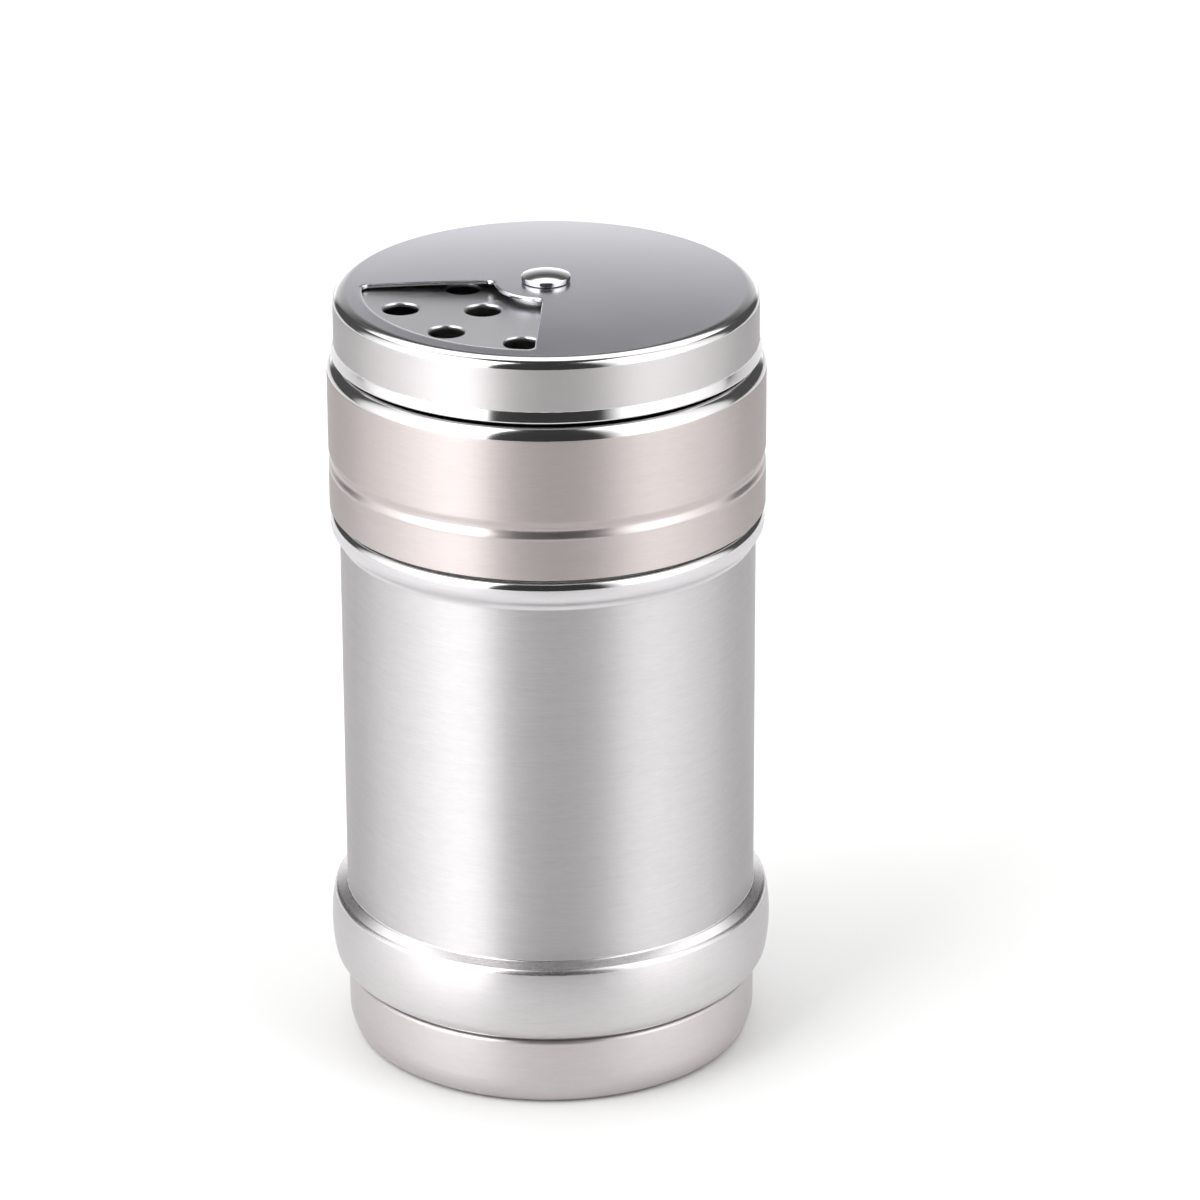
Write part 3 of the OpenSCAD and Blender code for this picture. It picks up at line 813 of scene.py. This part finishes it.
cover = {"skirt": 25.1, "low": 87.45, "top": 95.0, "wall": 0.4, "cutEdge": 0.17, "edgeRound": 1.15,
         "bendRound": 2.4, "edgeTurn": 60, "crown": 0.75, "bore": 1.55, "boreRim": 0.12, "flareOut": 0.3,
         "flareHeight": 1.35, "flareRound": 1.6, "hem": 0.15, "fluteDepth": 0.07, "fluteLow": 0.2,
         "topRings": 36, "columns": 180, "smoothAngle": 30,
         # where the polished edge begins and ends, and how far in it reaches
         "aboveSkirt": 0.17, "belowTop": 0.03, "edgeRadius": 23, "bandSlack": 0.1}
window = {"hub": 6.1, "far": 21.6, "span": 88, "turn": 222.3, "corner": 0.9, "edgeRound": 0.2,
          # the cutter follows the rounded edge at these angles and starts wider above the cover
          "cutAngles": (70, 56, 42, 28, 14, 0), "cutOut": 0.35, "cutUp": 0.18, "cutBelow": 1.2,
          "cutAbove": 1.0}


def coverEdge(size):
    # radius where the flat top ends, and height where the skirt's straight side ends
    bend, edge, turn = size["bendRound"], size["edgeRound"], size["edgeTurn"]
    flat = size["skirt"] - edge - (bend - edge) * cosine(turn)
    return flat, size["top"] - bend + (bend - edge) * sine(turn)


def coverPath(size):
    flat, edgeZ = coverEdge(size)
    skirt, bend, edge, turn = size["skirt"], size["bendRound"], size["edgeRound"], size["edgeTurn"]
    low, rim, flare = size["low"], size["skirt"] + size["flareOut"], size["flareRound"]
    slope = math.degrees(math.atan(size["flareOut"] / (size["flareHeight"] - size["hem"])))
    flareZ = low + size["flareHeight"] + flare * tangent(slope / 2)
    rings = [flat - (flat - size["bore"]) * (i + 1) / size["topRings"] for i in range(size["topRings"])]
    return ([(rim, low), (rim, low + size["hem"])]
            + arcPath(skirt + flare, flareZ, flare, 180 + slope, 180, steps=6)
            + arcPath(skirt - edge, edgeZ, edge, 0, turn, steps=14)
            + arcPath(flat, size["top"] - bend, bend, turn, 90, steps=10)[1:]
            + [(radius, size["top"]) for radius in rings])


def windowOutline(size, out, height):
    # a piece of a ring with rounded corners, moved out all round
    half, corner, far, hub = size["span"] / 2, size["corner"], size["far"], size["hub"]
    farAngle = half - math.degrees(math.asin(corner / (far - corner)))
    hubAngle = half - math.degrees(math.asin(corner / (hub + corner)))
    farX, farY = (far - corner) * cosine(farAngle), (far - corner) * sine(farAngle)
    hubX, hubY = (hub + corner) * cosine(hubAngle), (hub + corner) * sine(hubAngle)
    outline = (arcPath(0, 0, far + out, -farAngle, farAngle, steps=40)
               + arcPath(farX, farY, corner + out, farAngle, half + 90, steps=6)[1:]
               + arcPath(hubX, hubY, corner + out, half + 90, hubAngle + 180, steps=6)
               + arcPath(0, 0, hub - out, hubAngle, -hubAngle, steps=20)[1:]
               + arcPath(hubX, -hubY, corner + out, 180 - hubAngle, 270 - half, steps=6)[1:]
               + arcPath(farX, -farY, corner + out, -half - 90, -farAngle, steps=6)[:-1])
    return [(x, y, height) for x, y in outline]


def windowCutter():
    # the widest outline lies above the cover; insets follow the rounded edge down to the straight wall
    edge, edgeZ = window["edgeRound"], cover["top"] - window["edgeRound"]
    levels = [(edge * (1 - cosine(angle)), edgeZ + edge * sine(angle)) for angle in window["cutAngles"]]
    levels.insert(0, (levels[0][0] + window["cutOut"], levels[0][1] + window["cutUp"]))
    clearSelection()
    drawPath(windowOutline(window, *levels[0]), close=True)
    bpy.ops.mesh.select_mode(type="FACE")
    bpy.ops.mesh.select_all(action="SELECT")
    for (out, height), (nextOut, nextHeight) in zip(levels, levels[1:]):
        bpy.ops.mesh.inset(thickness=(out - nextOut) * mm, depth=0, use_boundary=True, use_even_offset=True)
        bpy.ops.transform.translate(value=(0, 0, (nextHeight - height) * mm))
    down, up = (0, 0, -window["cutBelow"] * mm), (0, 0, window["cutAbove"] * mm)
    bpy.ops.mesh.extrude_region_move(TRANSFORM_OT_translate={"value": down})
    # the open upper outline is drawn up and closed
    bpy.ops.mesh.select_mode(type="EDGE")
    bpy.ops.mesh.select_all(action="DESELECT")
    bpy.ops.mesh.select_non_manifold(extend=False)
    bpy.ops.mesh.extrude_region_move(TRANSFORM_OT_translate={"value": up})
    bpy.ops.mesh.edge_face_add()
    bpy.ops.mesh.select_all(action="SELECT")
    bpy.ops.mesh.normals_make_consistent(inside=False)
    bpy.ops.object.mode_set(mode="OBJECT")
    cutter = nameNew("windowCutter")
    turnInPlace(cutter, window["turn"])
    return cutter


def pressFlutes(shell, flareTop):
    # every second column of the flare is pressed in a little
    step = 360 / cover["columns"]
    fluteLow = cover["low"] + cover["fluteLow"]

    def inFlute(place):
        around = math.degrees(math.atan2(place.y, place.x)) - window["turn"]
        return fluteLow < place.z < flareTop and round(around / step - 0.5) % 2 == 0

    selectVertices(shell, inFlute)
    shrink = 1 - cover["fluteDepth"] / cover["skirt"]
    bpy.ops.transform.resize(value=(shrink, shrink, 1), center_override=(0, 0, 0))
    bpy.ops.object.mode_set(mode="OBJECT")


def raiseCrown(shell, flat):
    # the bore's rim is lifted and the top follows it in a soft dome
    selectVertices(shell, lambda place: place.xy.length < cover["bore"] + cover["boreRim"])
    bpy.ops.transform.translate(value=(0, 0, cover["crown"] * mm), use_proportional_edit=True,
                                proportional_edit_falloff="INVERSE_SQUARE",
                                proportional_size=(flat - cover["bore"]) * mm)
    bpy.ops.object.mode_set(mode="OBJECT")


def buildCover():
    step = 360 / cover["columns"]
    firstColumn = window["turn"] - window["span"] / 2 + step / 2  # the window's corners meet columns
    shell = turnPath("turningCover", coverPath(cover), cover["columns"], firstColumn)
    flat, edgeZ = coverEdge(cover)
    flareTop = cover["low"] + cover["flareHeight"]
    pressFlutes(shell, flareTop)
    giveWall(shell, cover)
    cutWith(shell, [windowCutter()])
    raiseCrown(shell, flat)
    skirtTop, flatLow = edgeZ + cover["aboveSkirt"], cover["top"] - cover["belowTop"]
    midWall, inside = cover["skirt"] - cover["wall"] / 2, cover["edgeRadius"]
    hem, crownTop = cover["low"] - cover["bandSlack"], cover["top"] + cover["crown"] + cover["bandSlack"]
    finishBands(shell, steel["insideSteel"], [
        (steel["skirtBrushed"], flareTop, skirtTop, midWall),
        (steel["polishedSteel"], hem, flareTop, midWall),
        (steel["polishedSteel"], skirtTop, flatLow, inside),
        (steel["topSatin"], flatLow, crownTop, 0)])
    smooth(shell, cover["smoothAngle"])
    weighNormals(shell)
    finishPiece(shell, "cover", "cover_steel", "rotating_cover")


buildCover()


# rivet: domed head over the cover, shank, clenched tail under the lid

rivet = {"shank": 1.5, "head": 2.9, "headZ": 95.8, "headHeight": 1.1, "headEdge": 0.62, "edgeRound": 0.14,
         "tailTop": 93.35, "tailHeight": 0.7, "tail": 2.4, "tailFrom": -60, "dentRadius": 0.5,
         "dentDepth": 0.15, "dentEdge": 0.1, "columns": 96, "smoothAngle": 40}


def rivetPath(size):
    edge, headZ = size["edgeRound"], size["headZ"]
    side, sideTop = size["head"] - edge, headZ + size["headEdge"] - edge
    dome = headZ + size["headHeight"] - sideTop - edge
    domeRadius = (side ** 2 + dome ** 2) / (2 * dome)
    domeTurn = math.degrees(math.asin(side / domeRadius))
    domeZ = headZ + size["headHeight"] - domeRadius
    low, rim = size["tailTop"] - size["tailHeight"], size["tailHeight"] / 2
    rimX, rimZ = size["tail"] - rim, size["tailTop"] - rim
    return ([(0, low + size["dentDepth"]), (size["dentRadius"], low + size["dentEdge"]), (rimX, low)]
            + arcPath(rimX, rimZ, rim, size["tailFrom"], 90, steps=10)
            + [(size["shank"], size["tailTop"]), (size["shank"], headZ)]
            + arcPath(side, headZ + edge, edge, -90, 0, steps=5)
            + arcPath(side, sideTop, edge, 0, 90 - domeTurn, steps=5)
            + arcPath(0, domeZ, domeRadius, 90 - domeTurn, 90, steps=18)[1:])


def buildRivet():
    piece = turnPath("rivetHead", rivetPath(rivet), rivet["columns"])
    piece.data.materials.append(steel["rivetSteel"])
    smooth(piece, rivet["smoothAngle"])
    finishPiece(piece, "lid", "rivet_steel", "rivet")


buildRivet()


# screw thread: one ridge on the neck and one in the insert, half a pitch apart

thread = {"pitch": 4.0, "baseWidth": 1.8, "crestWidth": 0.6, "crestRound": 0.18, "roundAngle": 40,
          "stepAngle": 4, "taper": 7, "sinkShare": 0.9, "angleSlack": 0.5, "sizeSlack": 0.1}
neckRidge = {"name": "neckThread", "body": "jar", "slot": "jar_steel", "finish": steel["ringSatin"],
             "foot": 22.75, "crest": 23.6, "startAngle": 0, "turn": 360, "startZ": 71.0}
insertRidge = {"name": "insertThread", "body": "lid", "slot": "insert_plastic",
               "finish": plastic["naturalPlastic"], "foot": 23.95, "crest": 23.1, "startAngle": 162,
               "turn": 432, "startZ": 70.8}


def sinkCrest(piece, ridge, angle, height, depth):
    # the crest at one place along the ridge goes down towards its foot
    def inCrest(place):
        off = (math.degrees(math.atan2(place.y, place.x)) - angle + 180) % 360 - 180
        beside = abs(off) < thread["angleSlack"]
        level = abs(place.z - height) < thread["baseWidth"] / 2 + thread["sizeSlack"]
        return beside and level and abs(place.xy.length - ridge["foot"]) > thread["sizeSlack"]

    selectVertices(piece, inCrest)
    bpy.ops.transform.translate(value=(depth * mm * cosine(angle), depth * mm * sine(angle), 0))
    bpy.ops.object.mode_set(mode="OBJECT")


def buildRidge(ridge):
    foot, crest, start = ridge["foot"], ridge["crest"], ridge["startZ"]
    wide, narrow = thread["baseWidth"] / 2, thread["crestWidth"] / 2
    section = [(foot, start - wide), (crest, start - narrow), (crest, start + narrow), (foot, start + wide)]
    clearSelection()
    drawPath([(r, 0, z) for r, z in section], close=True)
    bpy.ops.mesh.delete(type="ONLY_FACE")
    bpy.ops.object.mode_set(mode="OBJECT")
    piece = nameNew(ridge["name"])
    steps = ridge["turn"] // thread["stepAngle"]
    rise = thread["pitch"] * ridge["turn"] / 360
    addModifier(piece, "SCREW", axis="Z", angle=math.radians(ridge["turn"]), screw_offset=rise * mm,
                steps=steps, render_steps=steps, use_merge_vertices=False)
    makeActive(piece)
    turnInPlace(piece, ridge["startAngle"])
    # both ends run out into the wall
    for step in range(thread["taper"]):
        depth = (foot - crest) * (1 - step / thread["taper"]) * thread["sinkShare"]
        for index in (step, steps - step):
            angle = ridge["startAngle"] + index * thread["stepAngle"]
            sinkCrest(piece, ridge, angle, start + rise * index / steps, depth)
    makeActive(piece)
    bpy.ops.object.mode_set(mode="EDIT")
    bpy.ops.mesh.select_all(action="SELECT")
    bpy.ops.mesh.fill_holes(sides=6)
    bpy.ops.mesh.select_all(action="SELECT")
    bpy.ops.mesh.normals_make_consistent(inside=False)
    bpy.ops.object.mode_set(mode="OBJECT")
    roundEdges(piece, thread["crestRound"], thread["roundAngle"])
    piece.data.materials.append(ridge["finish"])
    smooth(piece, thread["roundAngle"])
    finishPiece(piece, ridge["body"], ridge["slot"])


buildRidge(neckRidge)
buildRidge(insertRidge)


# hardware that keeps its CAD shape

hardware = {"spring_washer": steel["insideSteel"], "backing_washer": steel["insideSteel"],
            "sealing_ring": plastic["clearSilicone"], "thread_insert": plastic["naturalPlastic"]}
for node, finish in hardware.items():
    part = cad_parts[node]
    part.data.materials.clear()
    part.data.materials.append(finish)
print("finishes given to the CAD hardware:", len(hardware))
